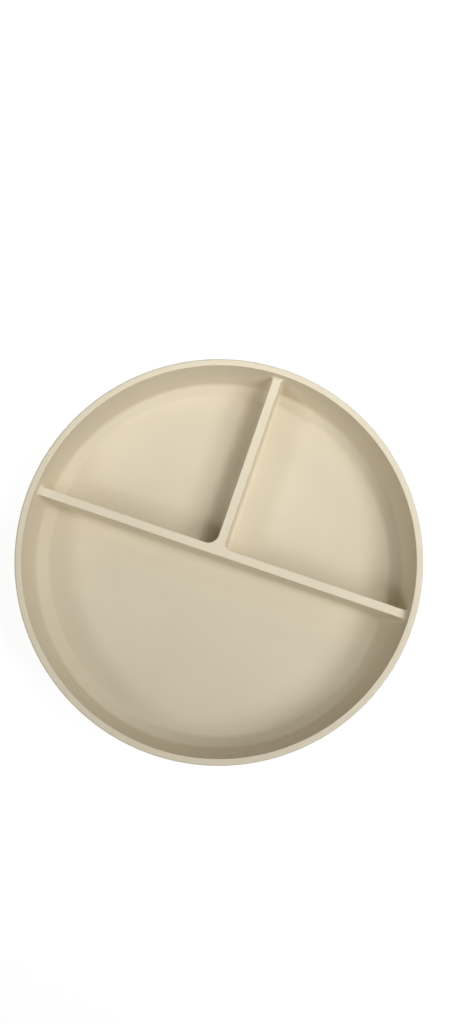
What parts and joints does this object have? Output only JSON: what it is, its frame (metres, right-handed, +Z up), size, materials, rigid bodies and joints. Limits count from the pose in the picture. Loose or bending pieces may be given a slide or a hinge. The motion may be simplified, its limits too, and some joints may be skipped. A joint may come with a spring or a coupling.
{
  "type": "baby suction plate",
  "caption": "Round one-piece silicone plate with a T-shaped divider, deep upright walls and a suction cup base with a peel tab, for a baby's table.",
  "frame": {"origin": "on the table, under the centre of the plate", "axes": "+Z up; +X along the long divider; +Y along the short divider, away from the large compartment and the peel tab"},
  "size_m": [0.185, 0.185, 0.035],
  "materials": {
    "silicone": "matte, slightly soft-touch moulded silicone in warm sand beige"
  },
  "bodies": {
    "root": {"divided_plate": "silicone"}
  },
  "joints": []
}
